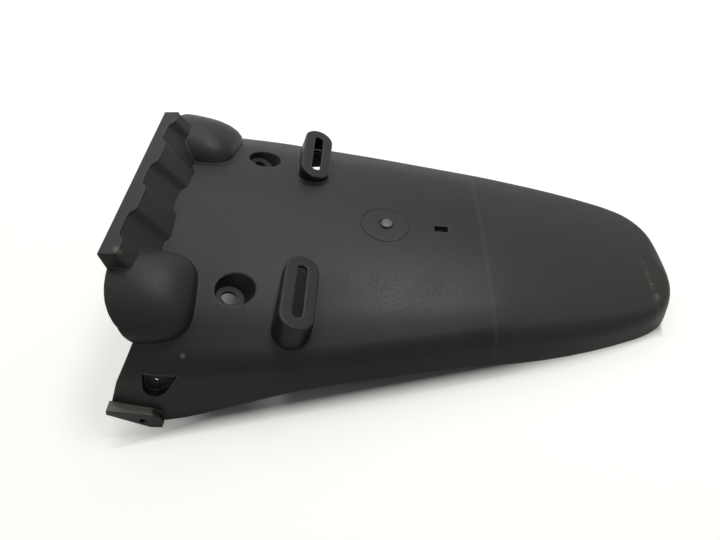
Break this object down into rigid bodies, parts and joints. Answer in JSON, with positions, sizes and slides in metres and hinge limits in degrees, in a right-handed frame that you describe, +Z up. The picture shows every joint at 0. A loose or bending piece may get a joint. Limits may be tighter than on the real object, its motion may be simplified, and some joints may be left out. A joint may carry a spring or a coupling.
{
  "type": "motorcycle rear fender",
  "caption": "Black moulded motorcycle rear fender: tapering crowned deck with side skirts, corrugated front wall, cable bulges, bolt cups, slotted bosses and side lugs.",
  "frame": {"origin": "middle of the footprint, on the surface that the fender lies on", "axes": "+X to the tail, +Y to the left side of the motorcycle seen from above with +X backwards, +Z up, away from the wheel"},
  "size_m": [0.4232, 0.295, 0.109],
  "materials": {
    "black_plastic": "fine-grained matte black polypropylene, as moulded, with a few scuffs"
  },
  "bodies": {
    "root": {"fender": "black_plastic"}
  },
  "joints": []
}
